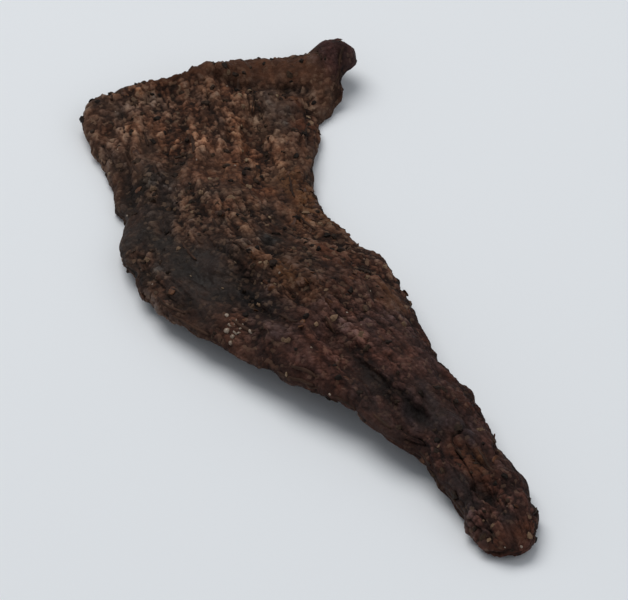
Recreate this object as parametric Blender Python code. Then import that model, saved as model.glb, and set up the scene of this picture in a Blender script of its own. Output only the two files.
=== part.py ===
"""A strip of dried buffalo meat, lying flat the way it dried.

The broad head is at -X and the narrow tail at +X. The strip is arched along its length, so it stands on the
two sides of its head and on the tip of its tail. One closed solid: a ball whose rings are carried along the
strip and shaped by its cross sections, then worked over with fibre bundles, folds, dents and ragged edges.
"""

import itertools

import bpy
import numpy as np

MM = 0.001
STRIP_NAME = "jerky_strip"
COLLECTION_NAME = "buffalo_jerky"

# Cross sections from the head end to the tip of the tail, in millimetres:
# place along X, left edge, right edge, thickness, height of the middle, droop of the edges.
SECTIONS = (
    (-62, -14.0, 20.0, 3.8, 4.3, 0.6),
    (-57, -15.8, 21.8, 4.4, 4.9, 1.4),
    (-52.5, -16.9, 20.8, 4.6, 5.3, 2.0),
    (-48, -17.5, 18.2, 4.8, 5.6, 2.4),
    (-40, -18.7, 15.0, 4.6, 6.3, 2.6),
    (-33, -20.3, 12.1, 4.6, 7.1, 2.8),
    (-26, -22.3, 10.0, 4.8, 7.9, 2.8),
    (-18, -23.5, 9.0, 5.0, 8.6, 2.8),
    (-10, -23.2, 10.6, 5.2, 9.2, 2.8),
    (-2, -20.4, 13.5, 5.2, 9.6, 2.6),
    (6, -17.0, 13.2, 5.0, 9.5, 2.4),
    (14, -12.4, 12.2, 5.0, 8.9, 2.0),
    (22, -7.8, 12.5, 5.2, 8.0, 1.6),
    (32, -2.8, 13.5, 5.4, 6.6, 1.2),
    (44, 0.8, 14.0, 5.6, 4.9, 0.8),
    (56, 2.8, 13.9, 5.6, 3.5, 0.4),
    (62.5, 3.0, 12.0, 4.8, 3.1, 0.2),
)

# How far the rounding of each end reaches along the strip, and how square it is (2 is an ellipse).
HEAD_ROUNDING = 7 * MM
HEAD_SQUARENESS = 4.0
TAIL_ROUNDING = 6 * MM
TAIL_SQUARENESS = 2.6
END_TAPER = 3.5 * MM
SECTION_SQUARENESS = 2.8
SECTION_HALF_WIDTH = 17 * MM
SECTION_HALF_THICKNESS = 2.4 * MM

# Folds and grooves of the upper face, in millimetres:
# from X, from Y, to X, to Y, breadth, height (below zero for a groove).
FOLDS = (
    (-59, -10, -57, 16, 2.4, 1.5),  # rolled rim of the head end
    (-61, -8, -60, 0, 2.4, 1.3),  # where that rim stands highest
    (-9, -13, -11, -8, 1.9, 0.8),  # short ridge across the middle
    (-11, -8, -4, -6, 1.9, 0.8),  # and its turn along the strip
    (-2, -2, 20, 4, 2.6, 0.8),  # bundle that runs on into the tail
    (14, -5, 36, 1, 1.8, -1.3),  # groove that splits the tail
    (16, -8, 33, -2, 2.0, 0.7),  # lip along that groove
    (-46, 8, -31, 4, 3.2, -1.2),  # hollow beside the right edge
    (-30, -18, -8, -15, 4.5, -0.6),  # smooth pressed patch on the left
    (40, 5, 52, 7, 1.7, -0.9),  # crease near the tip
    (50, 10, 57, 9, 2.2, 0.8),  # lump on the right of the tip
)

# The corner of the head that has rolled up into a knob.
KNOB_X = -53.6 * MM
KNOB_Y = 25.5 * MM
KNOB_REACH = (5.2 * MM, 5 * MM)
KNOB_LIFT = 6.4 * MM
KNOB_SWELL = 0.9
KNOB_PUSH = 6.4 * MM

# Relief: spacing of the random lattice along, across and through the strip, height, seed.
WARP = ((30 * MM, 24 * MM, 60 * MM), 1.5 * MM, 2)
LUMPS = ((11 * MM, 8 * MM, 6 * MM), 0.8 * MM, 3)
BUNDLES = ((13 * MM, 3.6 * MM, 4 * MM), 0.7 * MM, 5)
CRAGS = ((4.2 * MM, 3.4 * MM, 3 * MM), 0.7 * MM, 8)
THICKNESS_WAVE = ((18 * MM, 14 * MM, 40 * MM), 0.16, 13)
EDGE_WAVES = (((8 * MM, 8 * MM, 9 * MM), 1.5 * MM, 21), ((3.6 * MM, 3.6 * MM, 6 * MM), 0.6 * MM, 34))
EDGE_BAND = 6 * MM

# The three places that the strip stands on, each pressed flat by the floor.
FEET = ((-42 * MM, -18 * MM), (-44 * MM, 14 * MM), (55 * MM, 7 * MM))
FOOT_REACH = 9 * MM
FOOT_DEPTH = 0.35 * MM
LATTICE_SIDE = 24

SEGMENTS_ROUND = 60
RINGS_ALONG = 92
FINE_STEPS = 2001

MEAT_COLOUR = (0.040, 0.022, 0.015, 1.0)
MEAT_ROUGHNESS = 0.55


def smooth_profile(places, values, at):
    """The cubic curve through the stations, with each station's slope taken from its neighbours."""
    slopes = np.gradient(values, places)
    left = np.clip(np.searchsorted(places, at, side="right") - 1, 0, len(places) - 2)
    width = places[left + 1] - places[left]
    share = np.clip((at - places[left]) / width, 0, 1)
    start_bend = share * (1 - share) ** 2 * width * slopes[left]
    end_bend = share**2 * (share - 1) * width * slopes[left + 1]
    rise = share**2 * (3 - 2 * share)
    return values[left] + rise * (values[left + 1] - values[left]) + start_bend + end_bend


def lattice_noise(points, relief):
    """Smooth noise from a lattice of seeded random values, scaled to the relief's height."""
    spacing, height, seed = relief
    values = np.random.default_rng(seed).uniform(-1, 1, (LATTICE_SIDE,) * 3)
    scaled = points / np.array(spacing)
    cell = np.floor(scaled).astype(int)
    share = scaled - cell
    ease = share**3 * (share * (6 * share - 15) + 10)
    total = np.zeros(len(points))
    for corner in itertools.product((0, 1), repeat=3):
        index = (cell + corner) % LATTICE_SIDE
        weight = np.where(corner, ease, 1 - ease).prod(axis=1)
        total += weight * values[index[:, 0], index[:, 1], index[:, 2]]
    return total * height


def end_cap(distance, reach, squareness):
    """Grows from 0 at an end to 1 at its reach, as a rounded corner does."""
    inside = np.clip(1 - distance / reach, 0, 1)
    return (1 - inside**squareness) ** (1 / squareness)


def section_at(x):
    """Left edge, right edge, thickness, height of the middle and droop of the edges at each x, in metres."""
    table = np.array(SECTIONS, float).T * MM
    return [smooth_profile(table[0], column, x) for column in table[1:]]


def ring_places(share):
    """Where the rings lie along X, spread evenly along the strip's own outline."""
    head, tail = SECTIONS[0][0] * MM, SECTIONS[-1][0] * MM
    swing = np.linspace(0, np.pi, FINE_STEPS)
    x = head + (tail - head) * (1 - np.cos(swing)) / 2
    left, right = section_at(x)[:2]
    half_width = (right - left) / 2 * outline_cap(x)
    steps = np.hypot(np.diff(x), np.diff(half_width))
    walked = np.concatenate(([0], np.cumsum(steps)))
    return np.interp(share * walked[-1], walked, x)


def outline_cap(x):
    """How much of its full width the strip has at x: less near its two ends."""
    head, tail = SECTIONS[0][0] * MM, SECTIONS[-1][0] * MM
    return end_cap(x - head, HEAD_ROUNDING, HEAD_SQUARENESS) * end_cap(tail - x, TAIL_ROUNDING, TAIL_SQUARENESS)


def thickness_cap(x):
    """How much of its full thickness the strip has at x."""
    head, tail = SECTIONS[0][0] * MM, SECTIONS[-1][0] * MM
    return end_cap(x - head, END_TAPER, 2) * end_cap(tail - x, END_TAPER, 2)


def rounded_slab(angle):
    """Points of a slab's section, across and up, each from -1 to 1 and spread evenly round its outline."""
    turn = np.linspace(-np.pi, np.pi, FINE_STEPS)
    across = np.sign(np.sin(turn)) * np.abs(np.sin(turn)) ** (2 / SECTION_SQUARENESS)
    up = np.sign(np.cos(turn)) * np.abs(np.cos(turn)) ** (2 / SECTION_SQUARENESS)
    steps = np.hypot(np.diff(across) * SECTION_HALF_WIDTH, np.diff(up) * SECTION_HALF_THICKNESS)
    walked = np.concatenate(([0], np.cumsum(steps)))
    place = (angle + np.pi) / (2 * np.pi) * walked[-1]
    return np.interp(place, walked, across), np.interp(place, walked, up)


def ragged(x, y, left, right):
    """How far the outline wanders along X and Y: most at the edges, nothing in the middle."""
    head, tail = SECTIONS[0][0] * MM, SECTIONS[-1][0] * MM
    inwards = np.minimum.reduce([y - left, right - y, x - head, tail - x])
    weight = np.clip(1 - inwards / EDGE_BAND, 0, 1) ** 2
    shifts = []
    for offset in (0, LATTICE_SIDE / 2 * MM):
        points = np.stack([x, y, np.full_like(x, offset)], axis=1)
        shifts.append(weight * sum(lattice_noise(points, wave) for wave in EDGE_WAVES))
    return shifts


def folds(x, y):
    """Height of the named folds: each is a round-topped ridge along its own line."""
    total = np.zeros_like(x)
    for from_x, from_y, to_x, to_y, breadth, height in np.array(FOLDS, float) * MM:
        run = np.array([to_x - from_x, to_y - from_y])
        share = np.clip(((x - from_x) * run[0] + (y - from_y) * run[1]) / (run @ run), 0, 1)
        away = np.hypot(x - from_x - share * run[0], y - from_y - share * run[1])
        total += height * np.exp(-((away / breadth) ** 2))
    return total


def knob_share(x, y):
    """1 at the rolled corner of the head, fading round it."""
    return np.exp(-(((x - KNOB_X) / KNOB_REACH[0]) ** 2) - ((y - KNOB_Y) / KNOB_REACH[1]) ** 2)


def stand(points):
    """Sets the strip down on its three feet, and presses what is below the floor flat."""
    lowest = []
    for foot in FEET:
        near = np.linalg.norm(points[:, :2] - np.array(foot), axis=1) < FOOT_REACH
        under = points[near]
        lowest.append(under[under[:, 2].argmin()])
    lowest = np.array(lowest)
    slope = np.linalg.solve(np.column_stack([lowest[:, :2], np.ones(3)]), lowest[:, 2])
    points[:, 2] -= points[:, :2] @ slope[:2] + slope[2] + FOOT_DEPTH
    points[:, 2] = np.maximum(points[:, 2], 0)
    return points


def strip_points(share_along, angle):
    """The strip's surface: a point for each ring's share of the way along and each angle round it."""
    x = ring_places(share_along)
    left, right, thickness, lift, droop = section_at(x)
    across, up = rounded_slab(angle)
    half_width = (right - left) / 2 * outline_cap(x)
    middle = (left + right) / 2
    y = middle + across * half_width
    y += KNOB_PUSH * knob_share(x, KNOB_Y) * np.maximum(across, 0) ** 4
    knob = knob_share(x, y)
    rag_x, rag_y = ragged(x, y, left, right)

    flat = np.stack([x, y - middle, up * thickness / 2], axis=1)
    swell = (1 + lattice_noise(flat, THICKNESS_WAVE)) * (1 + KNOB_SWELL * knob)
    half_thickness = thickness / 2 * thickness_cap(x) * swell
    relief = lattice_noise(flat, LUMPS) + lattice_noise(flat, BUNDLES) + lattice_noise(flat, CRAGS)
    relief += np.where(up > 0, folds(x, y), 0)

    off_middle = (y - middle) / ((right - left) / 2)
    spine = lift - droop * off_middle**2 + KNOB_LIFT * knob
    spine += lattice_noise(np.stack([x, y, np.zeros_like(x)], axis=1), WARP)
    z = spine + up * half_thickness + up * np.abs(up) * relief * thickness_cap(x)
    return stand(np.stack([x + rag_x, y + rag_y, z], axis=1))


def meat_material():
    """Nearly black brown, satin where the surface has dried smooth."""
    material = bpy.data.materials.new("dried_meat")
    material.use_nodes = True
    surface = material.node_tree.nodes["Principled BSDF"]
    surface.inputs["Base Color"].default_value = MEAT_COLOUR
    surface.inputs["Roughness"].default_value = MEAT_ROUGHNESS
    surface.inputs["Metallic"].default_value = 0.0
    return material


def build_strip(collection):
    """Shapes a ball into the strip and stands it with its box centred over the origin."""
    bpy.ops.mesh.primitive_uv_sphere_add(segments=SEGMENTS_ROUND, ring_count=RINGS_ALONG, radius=1)
    strip = bpy.context.active_object
    strip.name = strip.data.name = STRIP_NAME
    ball = np.empty(len(strip.data.vertices) * 3)
    strip.data.vertices.foreach_get("co", ball)
    ball = ball.reshape(-1, 3)
    share_along = np.arccos(np.clip(ball[:, 2], -1, 1)) / np.pi
    points = strip_points(share_along, np.arctan2(ball[:, 1], ball[:, 0]))
    box_centre = (points.min(axis=0) + points.max(axis=0)) / 2
    points[:, :2] -= box_centre[:2]
    strip.data.vertices.foreach_set("co", points.ravel())
    strip.data.update()
    strip.data.shade_smooth()
    strip.data.materials.append(meat_material())
    for other in strip.users_collection:
        other.objects.unlink(strip)
    collection.objects.link(strip)
    return strip


def main():
    for old in list(bpy.data.objects):
        bpy.data.objects.remove(old, do_unlink=True)
    collection = bpy.data.collections.new(COLLECTION_NAME)
    bpy.context.scene.collection.children.link(collection)
    build_strip(collection)


main()
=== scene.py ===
import itertools
import math

import bpy
import numpy as np
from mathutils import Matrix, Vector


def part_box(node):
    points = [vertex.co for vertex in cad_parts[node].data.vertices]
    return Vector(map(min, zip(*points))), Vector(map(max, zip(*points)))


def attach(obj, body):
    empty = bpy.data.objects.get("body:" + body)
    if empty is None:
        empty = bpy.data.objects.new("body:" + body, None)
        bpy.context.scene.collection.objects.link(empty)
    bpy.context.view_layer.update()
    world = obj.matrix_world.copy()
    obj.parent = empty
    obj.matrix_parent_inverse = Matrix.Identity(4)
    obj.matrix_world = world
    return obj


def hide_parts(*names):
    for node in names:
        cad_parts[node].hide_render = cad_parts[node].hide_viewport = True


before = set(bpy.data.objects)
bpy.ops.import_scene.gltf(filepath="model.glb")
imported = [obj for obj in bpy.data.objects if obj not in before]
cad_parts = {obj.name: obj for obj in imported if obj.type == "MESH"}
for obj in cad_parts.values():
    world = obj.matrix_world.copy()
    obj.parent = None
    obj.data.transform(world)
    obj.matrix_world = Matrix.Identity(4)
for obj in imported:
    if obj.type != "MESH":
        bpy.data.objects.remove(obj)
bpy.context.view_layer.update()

mm = 0.001  # the dictionaries are in millimetres, the meshes in metres
latticeSide = 24  # the random lattices repeat after this many cells
floorGap = 0.02  # how far above the floor, in mm, every crumb and fibre stays


def smoothStep(low, high, value):
    # 0 below low, 1 above high, 3t^2 - 2t^3 between
    share = np.clip((value - low) / (high - low), 0, 1)
    return share * share * (3 - 2 * share)


def smoothProfile(places, values, at):
    # cubic through the stations, each one's slope the mean of the slopes beside it
    slopes = np.gradient(values, places)
    left = np.clip(np.searchsorted(places, at, side="right") - 1, 0, len(places) - 2)
    width = places[left + 1] - places[left]
    share = np.clip((at - places[left]) / width, 0, 1)
    startBend = share * (1 - share) ** 2 * width * slopes[left]
    endBend = share**2 * (share - 1) * width * slopes[left + 1]
    rise = share**2 * (3 - 2 * share)
    return values[left] + rise * (values[left + 1] - values[left]) + startBend + endBend


def latticeNoise(points, spacing, seed):
    # seeded values from -1 to 1 at lattice points, blended by 6t^5 - 15t^4 + 10t^3 along each axis
    values = np.random.default_rng(seed).uniform(-1, 1, (latticeSide,) * 3)
    scaled = points / np.array(spacing)
    cell = np.floor(scaled).astype(int)
    share = scaled - cell
    ease = share**3 * (share * (6 * share - 15) + 10)
    total = np.zeros(len(points))
    for corner in itertools.product((0, 1), repeat=3):
        index = (cell + corner) % latticeSide
        weight = np.where(corner, ease, 1 - ease).prod(axis=1)
        total += weight * values[index[:, 0], index[:, 1], index[:, 2]]
    return total


def noiseWave(points, wave):
    # latticeNoise times a height; a wave is its spacing along, across and through, its height and its seed
    spacing, height, seed = wave
    return latticeNoise(points, spacing, seed) * height


def cellNoise(points, spacing, seed):
    # one random point in each cell: distance to the nearest, how much farther the next one is,
    # and the nearest one's random mark
    rng = np.random.default_rng(seed)
    jitter = rng.uniform(0, 1, (latticeSide,) * 3 + (3,))
    marks = rng.uniform(0, 1, (latticeSide,) * 3)
    scaled = points / np.array(spacing)
    cell = np.floor(scaled).astype(int)
    nearest = np.full(len(points), 9.0)  # farther than any point can be
    second = nearest.copy()
    mark = np.zeros(len(points))
    for step in itertools.product((-1, 0, 1), repeat=3):
        there = cell + step
        index = there % latticeSide
        spot = there + jitter[index[:, 0], index[:, 1], index[:, 2]]
        away = np.linalg.norm(scaled - spot, axis=1)
        closer = away < nearest
        second = np.where(closer, nearest, np.minimum(second, away))
        mark = np.where(closer, marks[index[:, 0], index[:, 1], index[:, 2]], mark)
        nearest = np.minimum(nearest, away)
    return nearest, second - nearest, mark


def alongLine(x, y, line):
    # bell of height 1 round a line on the plan, exp(-(distance / breadth)^2)
    fromX, fromY, toX, toY, breadth = line
    run = np.array([toX - fromX, toY - fromY])
    share = np.clip(((x - fromX) * run[0] + (y - fromY) * run[1]) / (run @ run), 0, 1)
    away = np.hypot(x - fromX - share * run[0], y - fromY - share * run[1])
    return np.exp(-((away / breadth) ** 2))


# The strip's form: the sections, folds, knob and relief that the solid has, on a finer grid.
strip = {
    "columnsRound": 236,
    "rowsAlong": 418,
    "closerOnTop": 0.22,  # how much closer the columns lie on top than underneath
    # place along X, left edge, right edge, thickness, height of the middle, droop of the edges
    "sections": (
        (-62, -14.0, 20.0, 3.8, 4.3, 0.6),
        (-57, -15.8, 21.8, 4.4, 4.9, 1.4),
        (-52.5, -16.9, 20.8, 4.6, 5.3, 2.0),
        (-48, -17.5, 18.2, 4.8, 5.6, 2.4),
        (-40, -18.7, 15.0, 4.6, 6.3, 2.6),
        (-33, -20.3, 12.1, 4.6, 7.1, 2.8),
        (-26, -22.3, 10.0, 4.8, 7.9, 2.8),
        (-18, -23.5, 9.0, 5.0, 8.6, 2.8),
        (-10, -23.2, 10.6, 5.2, 9.2, 2.8),
        (-2, -20.4, 13.5, 5.2, 9.6, 2.6),
        (6, -17.0, 13.2, 5.0, 9.5, 2.4),
        (14, -12.4, 12.2, 5.0, 8.9, 2.0),
        (22, -7.8, 12.5, 5.2, 8.0, 1.6),
        (32, -2.8, 13.5, 5.4, 6.6, 1.2),
        (44, 0.8, 14.0, 5.6, 4.9, 0.8),
        (56, 2.8, 13.9, 5.6, 3.5, 0.4),
        (62.5, 3.0, 12.0, 4.8, 3.1, 0.2),
    ),
    "headRounding": (7, 4.0),  # its reach, and how square it is
    "tailRounding": (6, 2.6),
    "endTaper": 3.5,
    "sectionSquareness": 2.8,
    "sectionHalf": (17, 2.4),
    # from X, from Y, to X, to Y, breadth, height
    "folds": (
        (-59, -10, -57, 16, 2.4, 1.5),  # rolled rim of the head end
        (-61, -8, -60, 0, 2.4, 1.3),  # where that rim stands highest
        (-9, -13, -11, -8, 1.9, 0.8),  # short ridge across the middle
        (-11, -8, -4, -6, 1.9, 0.8),  # and its turn along the strip
        (-2, -2, 20, 4, 2.6, 0.8),  # bundle that runs on into the tail
        (14, -5, 36, 1, 1.8, -1.3),  # groove that splits the tail
        (16, -8, 33, -2, 2.0, 0.7),  # lip along that groove
        (-46, 8, -31, 4, 3.2, -1.2),  # hollow beside the right edge
        (-30, -18, -8, -15, 4.5, -0.6),  # smooth pressed patch on the left
        (40, 5, 52, 7, 1.7, -0.9),  # crease near the tip
        (50, 10, 57, 9, 2.2, 0.8),  # lump on the right of the tip
    ),
    "knob": {"x": -53.6, "y": 25.5, "reach": (5.2, 5), "lift": 6.4, "swell": 0.9, "push": 6.4},
    # waves of noise: spacing along, across and through, height, seed
    "warp": ((30, 24, 60), 1.5, 2),
    "relief": (((11, 8, 6), 0.8, 3), ((13, 3.6, 4), 0.7, 5), ((4.2, 3.4, 3), 0.7, 8)),
    "thicknessWave": ((18, 14, 40), 0.16, 13),
    "edgeWaves": (((8, 8, 9), 1.5, 21), ((3.6, 3.6, 6), 0.6, 34)),
    "edgeBand": 6,
    "feet": ((-42, -18), (-44, 14), (55, 7)),
    "footReach": 9,
    "footDepth": 0.35,
}
head = strip["sections"][0][0]
tail = strip["sections"][-1][0]


def endCap(distance, reach, squareness):
    # (1 - (1 - distance / reach)^n)^(1 / n): 0 at the end, 1 from its reach on
    inside = np.clip(1 - distance / reach, 0, 1)
    return (1 - inside**squareness) ** (1 / squareness)


def outlineCap(x):
    # share of the half width left at x by the rounding of both ends
    return endCap(x - head, *strip["headRounding"]) * endCap(tail - x, *strip["tailRounding"])


def thicknessCap(x):
    # share of the thickness left at x, a quarter circle at each end
    return endCap(x - head, strip["endTaper"], 2) * endCap(tail - x, strip["endTaper"], 2)


def sectionAt(x):
    # the five columns of the table, each carried smoothly to x
    table = np.array(strip["sections"], float).T
    return [smoothProfile(table[0], column, x) for column in table[1:]]


def ringPlaces(share):
    # X of each ring, at even steps along the curve of half width over x
    x = head + (tail - head) * (1 - np.cos(np.linspace(0, np.pi, 2001))) / 2
    left, right = sectionAt(x)[:2]
    steps = np.hypot(np.diff(x), np.diff((right - left) / 2 * outlineCap(x)))
    walked = np.concatenate(([0], np.cumsum(steps)))
    return np.interp(share * walked[-1], walked, x)


def roundedSlab(angle):
    # |across|^n + |up|^n = 1, read at even steps round a section of ordinary size
    turn = np.linspace(-np.pi, np.pi, 2001)
    power = 2 / strip["sectionSquareness"]
    across = np.sign(np.sin(turn)) * np.abs(np.sin(turn)) ** power
    up = np.sign(np.cos(turn)) * np.abs(np.cos(turn)) ** power
    halfWidth, halfThickness = strip["sectionHalf"]
    steps = np.hypot(np.diff(across) * halfWidth, np.diff(up) * halfThickness)
    walked = np.concatenate(([0], np.cumsum(steps)))
    place = (angle + np.pi) / (2 * np.pi) * walked[-1]
    return np.interp(place, walked, across), np.interp(place, walked, up)


def edgeShift(x, y, left, right):
    # noise times (1 - inset / band)^2, once along X and once along Y
    inset = np.minimum.reduce([y - left, right - y, x - head, tail - x])
    weight = np.clip(1 - inset / strip["edgeBand"], 0, 1) ** 2
    shifts = []
    for offset in (0, latticeSide / 2):
        points = np.stack([x, y, np.full_like(x, offset)], axis=1)
        shifts.append(weight * sum(noiseWave(points, wave) for wave in strip["edgeWaves"]))
    return shifts


def knobShare(x, y):
    # bell of height 1 over the raised corner
    knob = strip["knob"]
    reachX, reachY = knob["reach"]
    return np.exp(-(((x - knob["x"]) / reachX) ** 2) - ((y - knob["y"]) / reachY) ** 2)


def standOnFeet(points):
    # the plane through the lowest point near each foot becomes the floor, and nothing stays below it
    lowest = []
    for foot in strip["feet"]:
        under = points[np.linalg.norm(points[:, :2] - np.array(foot), axis=1) < strip["footReach"]]
        lowest.append(under[under[:, 2].argmin()])
    lowest = np.array(lowest)
    plane = np.linalg.solve(np.column_stack([lowest[:, :2], np.ones(3)]), lowest[:, 2])
    points[:, 2] -= points[:, :2] @ plane[:2] + plane[2] + strip["footDepth"]
    points[:, 2] = np.maximum(points[:, 2], 0)
    return points


def stripForm(shareAlong, angle):
    # z = spine(x, y) + up * half thickness + up * |up| * relief, over the outline's own x and y
    knob = strip["knob"]
    x = ringPlaces(shareAlong)
    left, right, thickness, lift, droop = sectionAt(x)
    across, up = roundedSlab(angle)
    middle = (left + right) / 2
    y = middle + across * (right - left) / 2 * outlineCap(x)
    y += knob["push"] * knobShare(x, knob["y"]) * np.maximum(across, 0) ** 4
    corner = knobShare(x, y)
    shiftX, shiftY = edgeShift(x, y, left, right)

    flat = np.stack([x, y - middle, up * thickness / 2], axis=1)
    swell = (1 + noiseWave(flat, strip["thicknessWave"])) * (1 + knob["swell"] * corner)
    relief = sum(noiseWave(flat, wave) for wave in strip["relief"])
    relief += (up > 0) * sum(alongLine(x, y, fold[:5]) * fold[5] for fold in strip["folds"])

    spine = lift - droop * ((y - middle) / ((right - left) / 2)) ** 2 + knob["lift"] * corner
    spine += noiseWave(np.stack([x, y, np.zeros_like(x)], axis=1), strip["warp"])
    z = spine + up * thickness / 2 * thicknessCap(x) * swell + up * np.abs(up) * relief * thicknessCap(x)
    form = standOnFeet(np.stack([x + shiftX, y + shiftY, z], axis=1))
    return form, {"flat": flat, "up": up, "x": x, "y": y, "corner": corner}


# The crust: what is finer than the solid's own relief, laid on along the surface's normals.
crust = {
    # waves of noise, as above
    "wander": ((20, 14, 9), 2.2, 61),  # how the fibres drift sideways
    "bundles": ((8, 2.2, 2.4), 0.32, 62),
    "fibres": ((5.0, 0.85, 0.9), 0.17, 63),
    "layers": ((12, 6, 5), 2.6, 64),  # its height counts the steps
    "layerStep": (0.28, 0.36, 0.64),  # height of a step, and where it rises between two levels
    "crackLines": ((9, 2.3, 2.6), 1, 65),
    "crackWander": ((1, 1, 1), 0.03, 71),
    "crackPatches": ((14, 9, 6), 1, 72),
    "crackBreadth": 0.07,  # share of the noise's range that a crack takes up
    "crackDepth": 0.6,
    "dampBreak": ((4, 2.5, 3), 0.5, 70),
    "rimBreak": ((2.2, 1.6, 2), 0.25, 78),
    "creaseWander": ((3, 3, 3), 0.7, 80),
    "patchBreak": (3, 2, 2),  # the spacing alone
    "patchSeeds": {"spice": 73, "rust": 77, "sheenAndShade": 79, "pale": 81},
    "keptWhereDamp": {"bundles": 0.3, "fibres": 0.5, "layers": 0.2, "grains": 0.25},
    # grains in random cells: spacing, height, seed; their places are pushed about by the warp
    "grainWarp": ((1.7, 1.5, 1.5), 0.4, 74),
    "coarseGrains": ((2.9, 2.5, 2.7), 0.34, 69),
    "grains": ((1.5, 1.3, 1.4), 0.46, 66),
    "fineGrains": ((0.9, 0.85, 0.85), 0.26, 67),
    "grainPatches": ((7, 5, 5), 1, 68),
    # grain over the length of the strip: place along X, share
    "grainAlong": ((-62, 1.0), (-10, 1.0), (8, 1.0), (22, 0.72), (40, 0.6), (50, 1.0), (62, 1.0)),
    "sideGrain": 0.6,  # how much of the grain the thin edges keep
    "rimGrain": 0.55,
    "knobGrain": 0.4,
    "grainSink": 0.35,  # how far full cover is let in, so that the grains don't thicken the strip
    "fullGrain": 0.9,  # height that counts as 1 in the mask
    # a noise or mask counts as 0 below the first value and as 1 above the second
    "ranges": {
        "crackPatches": (-0.1, 0.5), "domeRims": (0.0, 0.3), "domeTone": (0.05, 0.35), "patches": (-0.5, 0.5),
        "cover": (-0.6, 0.3), "knob": (0.2, 0.7), "rim": (0.2, 0.75), "top": (0.2, 0.75), "tail": (-16, 20),
    },
    # what is left of each where its share is 0
    "least": {"patches": 0.45, "cover": 0.45, "middleGrains": 0.25, "fineGrains": 0.2},
    # smooth damp places: X, Y, reach along, reach across, strength
    "damp": (
        (-10, -16, 10, 5.5, 0.85), (-26, -18.5, 10, 4.5, 0.55), (27, -2, 8, 3, 0.5), (20, 5, 7, 4.5, 0.38),
        (35, 6, 9, 4, 0.42), (50, 4, 5, 3, 0.45), (57, 9, 4, 3, 0.2),
    ),
    # the smooth band of the rolled rim, where there is little grain: from X, from Y, to X, to Y, breadth
    "rim": ((-60.5, -4, -59, 4, 2.2), (-59, 4, -57, 12, 2.8), (-57, 12, -55, 22, 3.6)),
    # creases: the same, then depth
    "creases": (
        (-56.5, 4, -52.5, 11, 0.9, 0.7), (-52.5, 11, -50.5, 18, 0.9, 0.8), (14, -4, 24, -1, 1.0, 0.7),
        (24, -1, 35, 3, 0.9, 0.8), (49.5, 6.4, 54, 7.3, 0.8, 0.8), (55, 5.6, 60, 4.5, 0.8, 0.8),
        (43, 8, 48, 9, 0.7, 0.6), (-2, -12, 10, -9, 0.8, 0.5),
    ),
    # paler places; the small one at X 2 to 6, Y -15.5 is a painted wet glint
    "pale": (
        (-52, -7, -36, 0, 9.0), (-30, -2, -22, 4, 6.0), (2, -15.5, 6, -15.5, 2.6), (31, 0, 32, 1, 1.8),
        (44.5, 6.5, 46, 6.5, 1.7), (50, 8, 51.5, 8, 1.3), (54, 9, 58, 6, 2.6),
    ),
    # where spice has gathered: from X, from Y, to X, to Y, breadth
    "spice": ((-6, -6, 3, -3, 2.4), (-30, 6, -18, 8, 3.5), (5, 9, 9, 9, 2.0), (45, 8, 46, 8, 1.6)),
    # rusty red places, the same
    "rust": ((-47, 15, -40, 13, 2.0), (42, 6, 49, 8, 2.4), (61, 4, 60, 14, 1.6), (-8, 4, 2, 6, 2.0)),
    # bluish grey places, the same: painted cool sheen of the light on the moist crust, darkened further as
    # painted shade
    "sheenAndShade": (
        (-36, -15, -24, -18, 6.5), (-24, -18, -4, -15, 5.5), (-4, -12, 8, -9, 3.2), (-34, -21, -12, -25, 3.0),
        (-12, -3, -9, -2, 2.6), (-2, -1, 1, 1, 2.4), (-57, -12, -55, -12, 3.0), (-50, 13, -42, 12, 2.8),
        (32, 3, 40, 7, 4.0), (48, 4.5, 52, 3.5, 2.4), (58.5, 8, 60, 8, 2.0),
    ),
}


def gridNormals(grid):
    # cross product of the step along and the step round: outward direction, and area of the cell
    along = np.gradient(grid, axis=0)
    wrapped = np.concatenate([grid[:, -1:], grid, grid[:, :1]], axis=1)
    across = (wrapped[:, 2:] - wrapped[:, :-2]) / 2
    normal = np.cross(along, across)
    area = np.linalg.norm(normal, axis=2)
    return normal / np.maximum(area, 1e-9)[:, :, None], area


def rising(name, value):
    # smoothStep over the range of that name
    return smoothStep(*crust["ranges"][name], value)


def atLeast(name, share):
    # least + (1 - least) * share
    least = crust["least"][name]
    return least + (1 - least) * share


def billow(points, wave):
    # (2|noise| - 0.5) * height: rounded bundles with narrow valleys between them
    spacing, height, seed = wave
    return (2 * np.abs(latticeNoise(points, spacing, seed)) - 0.5) * height


def keptShare(damp, piece):
    # 1 where it is dry, the piece's kept share where it is damp
    kept = crust["keptWhereDamp"][piece]
    return kept + (1 - kept) * (1 - damp)


def strongestLine(x, y, lines):
    # the highest of the bells along the lines
    return np.maximum.reduce([alongLine(x, y, line) for line in lines])


def dampShare(facts, flat):
    # strongest of the soft ovals strength * exp(-distance^3), broken up by noise, on top only
    damp = np.zeros(len(flat))
    for centreX, centreY, reachX, reachY, strength in crust["damp"]:
        away = ((facts["x"] - centreX) / reachX) ** 2 + ((facts["y"] - centreY) / reachY) ** 2
        damp = np.maximum(damp, strength * np.exp(-(away**1.5)))
    damp *= facts["up"] > 0
    return np.clip(damp * (1 + noiseWave(flat, crust["dampBreak"])), 0, 1)


def layerStairs(flat):
    # (floor(n) + smoothStep of what is left) * height of a step, where n is the noise in steps
    height, low, high = crust["layerStep"]
    stair = noiseWave(flat, crust["layers"])
    return (np.floor(stair) + smoothStep(low, high, stair - np.floor(stair))) * height


def crackBells(flat):
    # exp(-(|noise| / breadth)^2): thin lines where the noise passes through 0, in some patches only
    line = np.abs(noiseWave(flat, crust["crackLines"])) + noiseWave(flat, crust["crackWander"])
    patch = rising("crackPatches", noiseWave(flat, crust["crackPatches"]))
    return np.exp(-((line / crust["crackBreadth"]) ** 2)) * patch


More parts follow.
